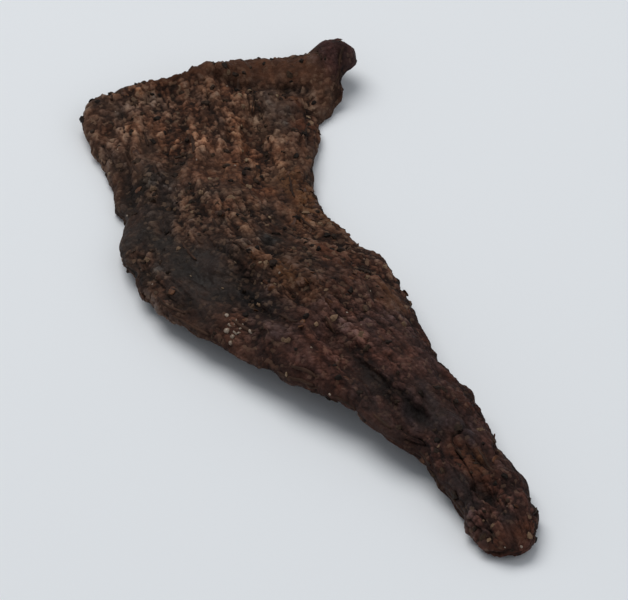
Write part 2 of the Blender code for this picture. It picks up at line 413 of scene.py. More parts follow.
def creaseDepth(facts):
    # deepest of the wandering creases, each a bell along its line times its depth, on top only
    wandering = facts["y"] + noiseWave(facts["flat"], crust["creaseWander"])
    bells = [alongLine(facts["x"], wandering, line[:5]) * line[5] for line in crust["creases"]]
    return np.maximum.reduce(bells) * (facts["up"] > 0)


def grainDomes(places, grain):
    # (1 - distance^2) over each random cell, drawn in where two cells meet, and the cell's own mark
    spacing, height, seed = grain
    nearest, gap, tone = cellNoise(places, spacing, seed)
    return np.clip(1 - nearest**2, 0, 1) * rising("domeRims", gap), height, tone


def grainRelief(facts, cover):
    # coarse and middle domes where there is cover, fine ones nearly everywhere; the middle ones' tone too
    warp, reach, seed = crust["grainWarp"]
    warped = facts["flat"].copy()
    for axis in range(3):
        warped[:, axis] += noiseWave(facts["flat"], (warp, reach, seed + axis))
    coarse, coarseHeight, coarseTone = grainDomes(warped, crust["coarseGrains"])
    middle, middleHeight, middleTone = grainDomes(warped, crust["grains"])
    fine, fineHeight, _ = grainDomes(warped, crust["fineGrains"])
    grains = coarse * coarseHeight * coarseTone + middle * middleHeight * atLeast("middleGrains", middleTone)
    grains = grains * cover + fine * fineHeight * atLeast("fineGrains", cover)
    return grains, middleTone * rising("domeTone", middle)


def patches(facts, flat, name):
    # strongest of the bells along the lines of that name, on top only, broken up by noise
    share = strongestLine(facts["x"], facts["y"], crust[name])
    noise = latticeNoise(flat, crust["patchBreak"], crust["patchSeeds"][name])
    return share * atLeast("patches", rising("patches", noise)) * (facts["up"] > 0)


def crustRelief(facts):
    # bundles + fibres + layers - cracks - creases + grains, with less of each where it is damp
    flat = facts["flat"].copy()
    flat[:, 1] += noiseWave(facts["flat"], crust["wander"])
    damp = dampShare(facts, flat)
    bundles = billow(flat, crust["bundles"]) * keptShare(damp, "bundles")
    fibres = billow(flat, crust["fibres"]) * keptShare(damp, "fibres")
    layers = layerStairs(flat) * keptShare(damp, "layers")
    cracks = crackBells(flat)
    creases = creaseDepth(facts)

    knob = rising("knob", facts["corner"])
    rim = strongestLine(facts["x"], facts["y"], crust["rim"]) + noiseWave(flat, crust["rimBreak"])
    rim = rising("rim", rim) * (facts["up"] > 0) * (1 - knob)

    # how much grain there is: in patches, less along the tail, on damp places, the rim and the knob
    cover = atLeast("cover", rising("cover", noiseWave(flat, crust["grainPatches"])))
    cover *= np.interp(facts["x"], *np.array(crust["grainAlong"]).T) * keptShare(damp, "grains")
    cover *= (1 - (1 - crust["rimGrain"]) * rim) * (1 - (1 - crust["knobGrain"]) * knob)
    grains, grainTone = grainRelief(facts, cover)
    edge = 1 - rising("top", np.abs(facts["up"]))
    keptGrain = 1 - (1 - crust["sideGrain"]) * edge
    relief = bundles + layers + fibres - cracks * crust["crackDepth"] - creases
    relief += (grains - crust["grainSink"] * cover) * keptGrain

    masks = {
        "meatHeight": np.clip(0.5 + (bundles + 0.5 * layers + fibres) / 2, 0, 1),
        "grainHeight": np.clip(grains / crust["fullGrain"], 0, 1),
        "grainTone": grainTone,
        "knob": knob,
        "cover": cover,
        "damp": damp,
        **{name: patches(facts, flat, name) for name in crust["patchSeeds"]},
        "rim": rim,
        "edge": edge,
        # where the cracks and creases get their painted shade
        "crack": np.clip(cracks + creases, 0, 1),
        "tailShare": rising("tail", facts["x"]),
    }
    return relief, masks


def closedMesh(name, grids):
    # each grid is rows by columns, its first and last row drawn to a point, and its columns wind round +row
    count, rows, columns = grids.shape[:3]
    between = grids[:, 1:-1].reshape(count, -1, 3)
    points = np.concatenate([grids[:, :1, 0], between, grids[:, -1:, 0]], axis=1)
    perPiece = points.shape[1]
    here = np.arange(columns)
    after = (here + 1) % columns
    row = 1 + np.arange(rows - 3)[:, None] * columns
    quads = np.stack([row + here, row + columns + here, row + columns + after, row + after], axis=2)
    quads = quads.reshape(-1, 4)
    last = perPiece - 1
    firstFan = np.stack([np.zeros(columns, int), 1 + here, 1 + after], axis=1)
    lastFan = np.stack([np.full(columns, last), last - columns + after, last - columns + here], axis=1)
    fans = np.concatenate([firstFan, lastFan])
    start = (np.arange(count) * perPiece)[:, None, None]
    corners = np.concatenate([(quads + start).ravel(), (fans + start).ravel()])
    sizes = np.concatenate([np.full(len(quads) * count, 4), np.full(len(fans) * count, 3)])

    mesh = bpy.data.meshes.new(name)
    mesh.vertices.add(count * perPiece)
    mesh.vertices.foreach_set("co", (points * mm).astype(np.float32).ravel())
    mesh.loops.add(len(corners))
    mesh.loops.foreach_set("vertex_index", corners.astype(np.int32))
    mesh.polygons.add(len(sizes))
    mesh.polygons.foreach_set("loop_start", (np.cumsum(sizes) - sizes).astype(np.int32))
    mesh.update(calc_edges=True)
    mesh.validate()
    return mesh


def addMask(mesh, name, values):
    # one number for each point, in the order of closedMesh; values are count by rows by columns
    count = len(values)
    inOrder = [values[:, :1, 0], values[:, 1:-1].reshape(count, -1), values[:, -1:, 0]]
    attribute = mesh.attributes.new(name, "FLOAT", "POINT")
    attribute.data.foreach_set("value", np.concatenate(inOrder, axis=1).astype(np.float32).ravel())


def addObject(name, data):
    thing = bpy.data.objects.new(name, data)
    bpy.context.scene.collection.objects.link(thing)
    return thing


def addPiece(name, mesh, material, smooth=True):
    piece = addObject(name, mesh)
    mesh.materials.append(material)
    if smooth:
        mesh.shade_smooth()
    else:
        mesh.shade_flat()
    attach(piece, "root")
    triangles = sum(len(face.vertices) - 2 for face in mesh.polygons)
    print(name, len(mesh.vertices), "points", triangles, "triangles")
    return piece


def shapeStrip():
    # the strip's form moved onto the solid's box, then the crust along its normals, nothing below the floor
    rows, columns = strip["rowsAlong"], strip["columnsRound"]
    turn = np.linspace(-np.pi, np.pi, columns, endpoint=False)
    turn = turn - strip["closerOnTop"] * np.sin(turn)
    form, facts = stripForm(np.repeat(np.linspace(0, 1, rows), columns), np.tile(turn, rows))
    low, high = (np.array(corner)[:2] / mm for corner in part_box("jerky_strip"))
    shift = (low + high) / 2 - (form[:, :2].min(axis=0) + form[:, :2].max(axis=0)) / 2
    form[:, :2] += shift
    print("form moved by", shift.round(3), "mm to the solid's box")
    grid = form.reshape(rows, columns, 3)
    normals = gridNormals(grid)[0]
    relief, masks = crustRelief(facts)
    relief = relief * thicknessCap(facts["x"])
    grid = grid + normals * relief.reshape(rows, columns, 1)
    grid[:, :, 2] = np.maximum(grid[:, :, 2], 0)
    grid[0] = grid[0, 0]
    grid[-1] = grid[-1, 0]
    masks = {name: values.reshape(rows, columns) for name, values in masks.items()}
    facts = {name: facts[name].reshape(rows, columns) for name in ("x", "y", "up")}
    return grid, masks, facts


# Nodes: short calls that the materials below share.
def feed(tree, node, socket, value):
    # a socket gets a link from another socket, or else a plain value
    target = node.inputs[socket]
    if isinstance(value, bpy.types.NodeSocket):
        tree.links.new(value, target)
    else:
        target.default_value = value


def addNode(tree, kind, inputs, **settings):
    # inputs are given by the socket's name or number
    node = tree.nodes.new(kind)
    for name, value in settings.items():
        setattr(node, name, value)
    for socket, value in inputs.items():
        feed(tree, node, socket, value)
    return node


def calculate(tree, operation, first, second, third=0.0, clamp=False):
    inputs = {0: first, 1: second, 2: third}
    return addNode(tree, "ShaderNodeMath", inputs, operation=operation, use_clamp=clamp).outputs[0]


def mixColours(tree, share, first, second, blend="MIX"):
    inputs = {0: share, 6: first, 7: second}
    return addNode(tree, "ShaderNodeMix", inputs, data_type="RGBA", blend_type=blend).outputs[2]


def spread(tree, value, fromLow, fromHigh, toLow=0.0, toHigh=1.0):
    # maps the range fromLow..fromHigh on toLow..toHigh, held at both ends
    inputs = {0: value, 1: fromLow, 2: fromHigh, 3: toLow, 4: toHigh}
    return addNode(tree, "ShaderNodeMapRange", inputs, clamp=True).outputs[0]


def readMask(tree, name):
    return addNode(tree, "ShaderNodeAttribute", {}, attribute_name=name).outputs["Fac"]


def colourRamp(tree, value, stops):
    node = addNode(tree, "ShaderNodeValToRGB", {0: value})
    elements = node.color_ramp.elements
    while len(elements) < len(stops):
        elements.new(0.5)
    for element, (place, colour) in zip(elements, stops):
        element.position = place
        element.color = (*colour, 1)
    return node.outputs["Color"]


def objectPlaces(tree, scale=(1, 1, 1)):
    # Object coordinates, in metres, stretched where a pattern follows the fibres
    places = addNode(tree, "ShaderNodeTexCoord", {}).outputs["Object"]
    if scale == (1, 1, 1):
        return places
    return addNode(tree, "ShaderNodeMapping", {"Scale": scale, "Vector": places}).outputs["Vector"]


def startGroup(name, inputs, outputs):
    # inputs and outputs say what kind of value each socket takes
    tree = bpy.data.node_groups.new(name, "ShaderNodeTree")
    for way, sockets in (("INPUT", inputs), ("OUTPUT", outputs)):
        for label, kind in sockets.items():
            tree.interface.new_socket(name=label, in_out=way, socket_type="NodeSocket" + kind)
    return tree, tree.nodes.new("NodeGroupInput").outputs, tree.nodes.new("NodeGroupOutput")


def useGroup(tree, group, **inputs):
    return addNode(tree, "ShaderNodeGroup", inputs, node_tree=group).outputs


def makeToneGroup():
    # noise of a given size, spread over its middle range, which blends one colour into another
    sockets = {"Places": "Vector", "Size": "Float", "Sharpness": "Float", "First": "Color", "Second": "Color"}
    tree, given, result = startGroup("patchy tone", sockets, {"Colour": "Color", "Mask": "Float"})
    scale = calculate(tree, "DIVIDE", 1 / mm, given["Size"])
    inputs = {"Vector": given["Places"], "Scale": scale, "Detail": 4, "Roughness": 0.6}
    noise = addNode(tree, "ShaderNodeTexNoise", inputs).outputs["Fac"]
    half = calculate(tree, "MULTIPLY", calculate(tree, "SUBTRACT", 1.0, given["Sharpness"]), 0.3)
    low = calculate(tree, "SUBTRACT", 0.5, half)
    high = calculate(tree, "ADD", 0.502, half)
    mask = spread(tree, noise, low, high)
    feed(tree, result, "Mask", mask)
    feed(tree, result, "Colour", mixColours(tree, mask, given["First"], given["Second"]))
    return tree


def makeGrainGroup():
    # fine height: rounded cells with valleys between them and finer noise; each cell has its own tone
    sockets = {"Places": "Vector", "Size": "Float"}
    tree, given, result = startGroup("fine grain", sockets, {"Height": "Float", "Tone": "Float"})
    scale = calculate(tree, "DIVIDE", 1 / mm, given["Size"])
    inputs = {"Vector": given["Places"], "Scale": scale, "Detail": 5, "Roughness": 0.62, "Distortion": 0.4}
    noise = addNode(tree, "ShaderNodeTexNoise", inputs).outputs
    inputs = {0: noise["Color"], 1: (0.4 * mm, 0.4 * mm, 0.4 * mm), 2: given["Places"]}
    swirl = addNode(tree, "ShaderNodeVectorMath", inputs, operation="MULTIPLY_ADD").outputs["Vector"]
    cells = addNode(tree, "ShaderNodeTexVoronoi", {"Vector": swirl, "Scale": scale}, feature="F1").outputs
    rounded = calculate(tree, "SUBTRACT", 1.0, cells["Distance"], clamp=True)
    height = calculate(tree, "ADD", calculate(tree, "MULTIPLY", rounded, 0.55), noise["Fac"])
    feed(tree, result, "Height", calculate(tree, "MULTIPLY", height, 0.7))
    feed(tree, result, "Tone", addNode(tree, "ShaderNodeSeparateColor", {"Color": cells["Color"]}).outputs[0])
    return tree


def startMaterial(name, roughness, shine):
    material = bpy.data.materials.new(name)
    material.use_nodes = True
    tree = material.node_tree
    shader = tree.nodes["Principled BSDF"]
    feed(tree, shader, "Roughness", roughness)
    feed(tree, shader, "Specular IOR Level", shine)
    return material, tree, shader


def addBump(tree, shader, height, distance):
    bump = addNode(tree, "ShaderNodeBump", {"Distance": distance * mm, "Height": height})
    feed(tree, shader, "Normal", bump.outputs["Normal"])


toneGroup = makeToneGroup()
grainGroup = makeGrainGroup()


def patchyMask(tree, places, patch):
    # patch is the size of its patches in mm and how sharp their borders are
    size, sharpness = patch
    return useGroup(tree, toneGroup, Places=places, Size=size, Sharpness=sharpness)["Mask"]


def patchyColour(tree, places, patch, first, second):
    size, sharpness = patch
    inputs = {"Places": places, "Size": size, "Sharpness": sharpness, "First": first, "Second": second}
    return useGroup(tree, toneGroup, **inputs)["Colour"]


def movedBy(tree, value, middle, share):
    # share * (value - middle)
    return calculate(tree, "MULTIPLY", calculate(tree, "SUBTRACT", value, middle), share)


def tinted(tree, share, colour, tint):
    # the colour multiplied by the tint, by that share
    return mixColours(tree, share, colour, mixColours(tree, 1.0, colour, tint, "MULTIPLY"))


def laidOver(tree, share, most, colour, other):
    # the other colour over the first one, by the share times its most
    return mixColours(tree, calculate(tree, "MULTIPLY", share, most), colour, other)


meat = {
    # colour over the crust's height, from the cracks up to the tips: the dark low stops are painted shade in
    # the hollows, the higher ones the crust's own browns and tan grain tips
    "ramp": (
        (0.1, (0.010, 0.0046, 0.0026)),
        (0.36, (0.038, 0.0176, 0.0098)),
        (0.56, (0.080, 0.0395, 0.0226)),
        (0.78, (0.152, 0.083, 0.05)),
        (1.0, (0.26, 0.162, 0.102)),
    ),
    # how much the mesh's grains, their tone, the fine cells, noise and fibres move that height
    "grainShare": 0.36,
    "toneShare": 0.42,
    "cellShare": 0.26,
    "noiseShare": 0.5,
    "fibreShare": 0.14,
    "bareShare": 0.15,  # how much of the first three counts where there is no cover
    "cellSize": 0.62,  # mm
    "alongFibres": (0.22, 1, 1),  # stretch of a pattern that follows the fibres
    "fibres": (0.7, 0.1),  # size in mm and sharpness, as below
    "redPatch": (5.0, 0.5),
    "redTint": (1.26, 0.93, 0.74, 1),
    # bluish grey patches stretched along the fibres: painted cool sheen
    "coolPatch": (2.6, 0.5),
    "coolTint": (0.66, 0.78, 0.98, 1),
    # tints of the mesh's masks
    "tints": (
        ("tailShare", (0.78, 0.69, 0.89, 1)),
        # the knob darker, with a purple cast that is a painted sheen
        ("knob", (0.8, 0.72, 1.12, 1)),
        # bluish grey, darker tint of those places: painted sheen and painted shade
        ("sheenAndShade", (0.3, 0.49, 0.69, 1)),
        # lightens the paler places, among them the painted wet glint
        ("pale", (1.64, 1.58, 1.52, 1)),
    ),
    # colours over all but the hollows: mask, most, colour
    "raised": (0.2, 0.62),
    "overRaised": (
        # the sides' redder brown: painted glow of light through the thin edges
        ("edge", 0.5, (0.04, 0.0165, 0.0095, 1)),
        ("rust", 0.9, (0.085, 0.027, 0.0125, 1)),
        ("spice", 0.85, (0.115, 0.047, 0.0165, 1)),
    ),
    "rimPatch": (1.3, 0.0),
    "rimColours": ((0.022, 0.0082, 0.0045, 1), (0.115, 0.042, 0.019, 1)),
    "rimMost": 0.7,
    "fleckTones": (0.86, 0.93),  # the cells whose tone is higher are flecks
    "flecks": (0.45, (0.17, 0.105, 0.066, 1)),
    # colours over everything: mask, most, colour
    "overAll": (
        ("damp", 0.66, (0.0135, 0.0078, 0.0058, 1)),
        # near black in the cracks and creases: painted shade
        ("crack", 0.8, (0.0028, 0.0016, 0.0012, 1)),
    ),
    "roughness": (0.8, 0.56, 0.44),  # crust, tips, damp
    "tips": (0.5, 0.95),  # from crust to tips over these heights
    "shine": 0.15,
    "fibreBump": 0.3,
    "bump": 0.42,  # mm
    "dampBump": 0.35,  # share of it that is left where it is damp
}


def meatLevel(tree, grain, fibre):
    # the mesh's height + what grains, cells, noise and fibres add to it; where it is low, the ramp paints
    # shade
    heights = movedBy(tree, readMask(tree, "grainHeight"), 0.4, meat["grainShare"])
    tones = movedBy(tree, readMask(tree, "grainTone"), 0.4, meat["toneShare"])
    grains = calculate(tree, "ADD", heights, tones)
    grains = calculate(tree, "ADD", grains, movedBy(tree, grain["Tone"], 0.5, meat["cellShare"]))
    covered = calculate(tree, "ADD", readMask(tree, "cover"), meat["bareShare"])
    level = calculate(tree, "MULTIPLY_ADD", grains, covered, readMask(tree, "meatHeight"))
    level = calculate(tree, "ADD", level, movedBy(tree, grain["Height"], 0.55, meat["noiseShare"]))
    return calculate(tree, "ADD", level, movedBy(tree, fibre, 0.5, meat["fibreShare"]))


def meatColour(tree, places, alongFibres, level, cellTone):
    # the ramp's colour, then the tints, then the colours that lie over it
    # the ramp's dark low end paints shade into the hollows
    colour = colourRamp(tree, level, meat["ramp"])
    colour = tinted(tree, patchyMask(tree, places, meat["redPatch"]), colour, meat["redTint"])
    # painted cool sheen in patches along the fibres
    colour = tinted(tree, patchyMask(tree, alongFibres, meat["coolPatch"]), colour, meat["coolTint"])
    for mask, tint in meat["tints"]:
        colour = tinted(tree, readMask(tree, mask), colour, tint)
    raised = spread(tree, level, *meat["raised"])
    for mask, most, other in meat["overRaised"]:
        share = calculate(tree, "MULTIPLY", readMask(tree, mask), raised)
        colour = laidOver(tree, share, most, colour, other)
    rim = patchyColour(tree, places, meat["rimPatch"], *meat["rimColours"])
    colour = laidOver(tree, readMask(tree, "rim"), meat["rimMost"], colour, rim)
    bright = spread(tree, cellTone, *meat["fleckTones"])
    bright = calculate(tree, "MULTIPLY", bright, readMask(tree, "cover"))
    most, flecks = meat["flecks"]
    colour = laidOver(tree, bright, most, colour, flecks)
    for mask, most, other in meat["overAll"]:
        colour = laidOver(tree, readMask(tree, mask), most, colour, other)
    return colour


def meatMaterial():
    crustRough, tipRough, dampRough = meat["roughness"]
    material, tree, shader = startMaterial("dried meat crust", crustRough, meat["shine"])
    places = objectPlaces(tree)
    alongFibres = objectPlaces(tree, meat["alongFibres"])
    grain = useGroup(tree, grainGroup, Places=places, Size=meat["cellSize"])
    fibre = patchyMask(tree, alongFibres, meat["fibres"])
    level = meatLevel(tree, grain, fibre)
    feed(tree, shader, "Base Color", meatColour(tree, places, alongFibres, level, grain["Tone"]))

    damp = readMask(tree, "damp")
    inputs = {0: damp, 2: spread(tree, level, *meat["tips"], crustRough, tipRough), 3: dampRough}
    roughness = addNode(tree, "ShaderNodeMix", inputs, data_type="FLOAT").outputs[0]
    feed(tree, shader, "Roughness", roughness)

    dry = calculate(tree, "SUBTRACT", 1.0, damp)
    height = calculate(tree, "ADD", grain["Height"], calculate(tree, "MULTIPLY", fibre, meat["fibreBump"]))
    height = calculate(tree, "MULTIPLY", height, spread(tree, dry, 0.0, 0.8, meat["dampBump"]))
    addBump(tree, shader, height, meat["bump"])
    return material


print("shaping the strip")
stripGrid, stripMasks, stripFacts = shapeStrip()
stripNormals, stripArea = gridNormals(stripGrid)
skinMesh = closedMesh("crust_skin", stripGrid[None])
for maskName, maskValues in stripMasks.items():
    addMask(skinMesh, maskName, maskValues[None])
skin = addPiece("crust_skin", skinMesh, meatMaterial())
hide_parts("jerky_strip")


def pickPlaces(count, weights, rng):
    # that many different grid points, each as likely as its cell's area times its weight
    chance = (stripArea * weights)[1:-1].ravel()
    picked = rng.choice(len(chance), count, replace=False, p=chance / chance.sum())
    return stripGrid[1:-1].reshape(-1, 3)[picked], stripNormals[1:-1].reshape(-1, 3)[picked]


def turnFrames(normals, rng, tilt):
    # local X, Y, Z for each piece: Z near the normal, leaning by up to tilt, X at a random turn round it
    lean = normals + rng.normal(0, tilt, normals.shape)
    up = lean / np.linalg.norm(lean, axis=1, keepdims=True)
    side = np.cross(up, rng.normal(0, 1, normals.shape))
    side /= np.linalg.norm(side, axis=1, keepdims=True)
    return np.stack([side, np.cross(up, side), up], axis=1)


def ballGrids(count, rows, columns):
    # unit balls: x = -cos(row), y = sin(row) sin(column), z = sin(row) cos(column)
    row = np.linspace(0, np.pi, rows)[:, None]
    column = np.linspace(-np.pi, np.pi, columns, endpoint=False)[None, :]
    x = -np.cos(row) + 0 * column
    ball = np.stack([x, np.sin(row) * np.sin(column), np.sin(row) * np.cos(column)], axis=2)
    return np.repeat(ball[None], count, axis=0)


def keepAbove(grids):
    # pieces that would reach below the floor are left out
    return grids[grids[..., 2].min(axis=(1, 2)) > floorGap]


def startBalls(piece, weights):
    # the piece's random numbers, and a ball for each of its places
    rng = np.random.default_rng(piece["seed"])
    places, normals = pickPlaces(piece["count"], weights, rng)
    return rng, places, normals, ballGrids(len(places), *piece["mesh"])


def layOn(grids, places, normals, piece, rng):
    # local points turned into each crumb's frame and put on the surface, sunk by a share of its height
    turned = np.einsum("nrci,nij->nrcj", grids, turnFrames(normals, rng, piece["tilt"]))
    depth = grids[..., 2].max(axis=(1, 2)) * piece["sink"]
    return keepAbove(turned + (places - normals * depth[:, None])[:, None, None, :])


def patchyMaterial(name, piece):
    # patches of the piece's two colours, with its roughness, shine and fine grain
    material, tree, shader = startMaterial(name, *piece["surface"])
    places = objectPlaces(tree, piece.get("stretch", (1, 1, 1)))
    colour = patchyColour(tree, places, piece["patch"], *piece["colours"])
    feed(tree, shader, "Base Color", colour)
    if "grain" in piece:
        size, height = piece["grain"]
        addBump(tree, shader, useGroup(tree, grainGroup, Places=places, Size=size)["Height"], height)
    return material, tree, shader, colour


def addCrumbs(name, grids, tones, material, smooth=True):
    # each crumb has one tone, the same at all its points
    mesh = closedMesh(name, grids)
    addMask(mesh, "tone", tones[:, None, None] * np.ones(grids.shape[:3]))
    addPiece(name, mesh, material, smooth)


pepper = {
    "count": 620,
    "mesh": (6, 7),  # rows and columns of one crumb
    "size": (0.34, 0.72),  # half lengths
    "breadth": (0.6, 1),
    "flatness": (0.5, 0.85),
    "roughness": 0.3,  # how far the corners of a crumb move
    "tilt": 0.35,
    "sink": 0.35,
    "onBare": 0.15,
    "lostOnDamp": 0.8,
    "seed": 101,
    "surface": (0.7, 0.14),  # roughness and shine
    "patch": (0.5, 0.4),  # size in mm and sharpness
    "colours": ((0.011, 0.0068, 0.005, 1), (0.07, 0.038, 0.022, 1)),
    "tan": (0.2, 0.125, 0.076, 1),
    "patchyTones": (0.25, 0.8),  # from which tones the second colour shows, and the tan
    "tanTones": (0.8, 1.0),
    "grain": (0.2, 0.07),  # size and height in mm
}


def pepperMaterial():
    material, tree, shader, patch = patchyMaterial("cracked pepper", pepper)
    tone = readMask(tree, "tone")
    colour = mixColours(tree, spread(tree, tone, *pepper["patchyTones"]), pepper["colours"][0], patch)
    colour = mixColours(tree, spread(tree, tone, *pepper["tanTones"]), colour, pepper["tan"])
    feed(tree, shader, "Base Color", colour)
    return material


def makePepper():
    # balls of few faces, each point moved in or out by a random share: angular crumbs
    weights = (pepper["onBare"] + stripMasks["cover"]) * (1 - pepper["lostOnDamp"] * stripMasks["damp"])
    rng, places, normals, grids = startBalls(pepper, weights)
    count = len(places)
    move = 1 + rng.uniform(-pepper["roughness"], pepper["roughness"], grids.shape[:3])
    move[:, 0] = move[:, 0, :1]
    move[:, -1] = move[:, -1, :1]
    size = rng.uniform(*pepper["size"], (count, 1)) * np.ones((1, 3))
    size[:, 1] *= rng.uniform(*pepper["breadth"], count)
    size[:, 2] *= rng.uniform(*pepper["flatness"], count)
    grids = layOn(grids * move[..., None] * size[:, None, None, :], places, normals, pepper, rng)
    tones = rng.uniform(0, 1, len(grids))
    addCrumbs("cracked_pepper", grids, tones, pepperMaterial(), smooth=False)


chilli = {
    "count": 110,
    "mesh": (8, 10),
    "size": (0.45, 0.95),
    "breadth": (0.5, 0.95),
    "ragged": ((2, 0.22), (3, 0.2), (5, 0.12)),  # waves round the outline, and how far each may reach
    "phases": 6.3,  # where on its circle a wave may start
    "thickness": 0.09,
    "curl": 0.35,
    "bend": (-0.4, 1),  # most are bent upwards
    "tilt": 0.18,
    "sink": 0.3,
    "onBare": 0.12,
    "onSpice": 2.2,
    "lostOnDamp": 0.7,
    "seed": 202,
    "surface": (0.5, 0.2),
    "patch": (0.9, 0.3),
    "colours": ((0.035, 0.012, 0.007, 1), (0.15, 0.058, 0.02, 1)),
    "darkTint": (0.5, 0.42, 0.4, 1),
    "grain": (0.25, 0.05),
}


def chilliMaterial():
    material, tree, shader, patch = patchyMaterial("chilli flakes", chilli)
    dark = mixColours(tree, 1.0, patch, chilli["darkTint"], "MULTIPLY")
    feed(tree, shader, "Base Color", mixColours(tree, readMask(tree, "tone"), dark, patch))
    return material


def makeChilli():
    # flattened balls with a ragged outline 1 + harmonics of the angle, curled up by x^2 and twisted by xy
    weights = chilli["onBare"] + chilli["onSpice"] * stripMasks["spice"]
    weights = weights * (1 - chilli["lostOnDamp"] * stripMasks["damp"])
    rng, places, normals, grids = startBalls(chilli, weights)
    each = (len(places), 1, 1)
    angle = np.arctan2(grids[..., 1], grids[..., 0])
    outline = np.ones(grids.shape[:3])
    for waves, reach in chilli["ragged"]:
        height = rng.uniform(0, reach, each)
        outline += height * np.cos(waves * angle + rng.uniform(0, chilli["phases"], each))
    size = rng.uniform(*chilli["size"], each)
    x = grids[..., 0] * outline * size
    y = grids[..., 1] * outline * size * rng.uniform(*chilli["breadth"], each)
    bend = rng.uniform(*chilli["bend"], each) * chilli["curl"]
    twist = rng.uniform(-1, 1, each) * chilli["curl"]
    z = grids[..., 2] * chilli["thickness"] + bend * x**2 + twist * x * y
    grids = layOn(np.stack([x, y, z], axis=3), places, normals, chilli, rng)
    addCrumbs("chilli_flakes", grids, rng.uniform(0, 1, len(grids)), chilliMaterial())


seeds = {
    "count": 34,
    "mesh": (8, 9),
    "size": (0.3, 0.5),
    "shape": (1, 0.75, 0.4),  # length, breadth and thickness
    "narrowing": 0.25,
    "tilt": 0.3,
    "sink": 0.3,
    "onBare": 0.2,
    "seed": 303,
    "surface": (0.55, 0.25),
    "patch": (0.6, 0.2),
    "colours": ((0.1, 0.057, 0.031, 1), (0.27, 0.185, 0.11, 1)),
    "grain": (0.3, 0.03),
}


def makeSeeds():
    # flat ovals, narrower towards one end by 1 - narrowing * x
    weights = seeds["onBare"] + stripMasks["cover"] + stripMasks["spice"]
    rng, places, normals, grids = startBalls(seeds, weights)
    size = rng.uniform(*seeds["size"], (len(places), 1, 1, 1))
    narrow = 1 - seeds["narrowing"] * grids[..., 0]
    grids = grids * size * np.array(seeds["shape"])
    grids[..., 1] *= narrow
    grids = layOn(grids, places, normals, seeds, rng)
    addPiece("spice_seeds", closedMesh("spice_seeds", grids), patchyMaterial("spice seeds", seeds)[0])


salt = {
    "count": 46,
    "mesh": (7, 8),
    "size": (0.1, 0.24),
    # pale grains gathered at one spot stand for a wet glint: partly salt, partly painted highlight
    "gathered": (3.2, -15.6, 1.7),  # where grains lie together: X, Y, reach
    "gatheredCount": 14,
    "gatheredSize": (0.08, 0.5),
    "gatheredTones": (0.05, 0.95),
    "squareness": 0.6,  # 1 is a ball, less is a cube
    "tilt": 0.5,
    "sink": 0.4,
    "onBare": 0.1,
    "seed": 505,
    "surface": (0.3, 0.5),
    "patch": (0.5, 0.3),
    "colours": ((0.15, 0.1, 0.068, 1), (0.48, 0.39, 0.31, 1)),  # stained and clear
}


def saltMaterial():
    material, tree, shader, patch = patchyMaterial("salt grains", salt)
    feed(tree, shader, "Base Color", mixColours(tree, readMask(tree, "tone"), salt["colours"][0], patch))
    return material


def makeSalt():
    # rounded cubes: each coordinate of a ball becomes sign * |coordinate|^squareness
    rng = np.random.default_rng(salt["seed"])
    centreX, centreY, reach = salt["gathered"]
    gathered = salt["gatheredCount"]
    near = np.exp(-((stripFacts["x"] - centreX) ** 2 + (stripFacts["y"] - centreY) ** 2) / reach**2)
    near *= stripFacts["up"] > 0.3
    scatteredPlaces = pickPlaces(salt["count"], salt["onBare"] + stripMasks["cover"], rng)
    gatheredPlaces = pickPlaces(gathered, near, rng)
    places, normals = (np.concatenate(pair) for pair in zip(scatteredPlaces, gatheredPlaces))
    size = rng.uniform(*salt["size"], (len(places), 3))
    size[salt["count"] :] = rng.uniform(*salt["gatheredSize"], (gathered, 3))
    ball = ballGrids(len(places), *salt["mesh"])
    grids = np.sign(ball) * np.abs(ball) ** salt["squareness"] * size[:, None, None, :]
    grids = layOn(grids, places, normals, salt, rng)
    tones = rng.uniform(0, 1, len(grids))
    # the gathered grains run from stained to clear; the clear ones make the painted glint
    tones[-gathered:] = np.linspace(*salt["gatheredTones"], gathered)
    addCrumbs("salt_grains", grids, tones, saltMaterial())


fibres = {
    "count": 70,
    "rows": (9, 20),  # how many grid rows a fibre runs
    "drift": 1.2,  # how many grid columns it strays and waves
    "wave": 0.35,
    "turns": (3, 8),
    "radius": (0.22, 0.42),
    "lift": 0.4,
    "ends": (-0.3, 1),  # most ends stand up
    "sink": 0.45,  # share of the radius
    "stations": 12,
    "sides": 5,
    "onTop": 0.25,
    "nearTip": 1.5,
    "tip": (40, 60),
    "lowest": 0.6,  # fibres start this high above the floor
    "seed": 404,
    "surface": (0.62, 0.12),
    "patch": (1.2, 0.3),
    "colours": ((0.014, 0.0072, 0.0048, 1), (0.062, 0.03, 0.018, 1)),
    "stretch": (0.3, 1, 1),
    "grain": (0.2, 0.04),
}


def sampleGrid(grid, row, column):
    # the grid read between its points, by the shares of the four around
    columns = grid.shape[1]
    row = np.clip(row, 0, grid.shape[0] - 1.001)
    rowLow = np.floor(row).astype(int)
    columnLow = np.floor(column).astype(int)
    rowShare = (row - rowLow)[..., None]
    columnShare = (column - columnLow)[..., None]
    here = columnLow % columns
    after = (columnLow + 1) % columns
    first = grid[rowLow, here] * (1 - columnShare) + grid[rowLow, after] * columnShare
    second = grid[rowLow + 1, here] * (1 - columnShare) + grid[rowLow + 1, after] * columnShare
    return first * (1 - rowShare) + second * rowShare


def unit(vectors):
    return vectors / np.maximum(np.linalg.norm(vectors, axis=2, keepdims=True), 1e-6)


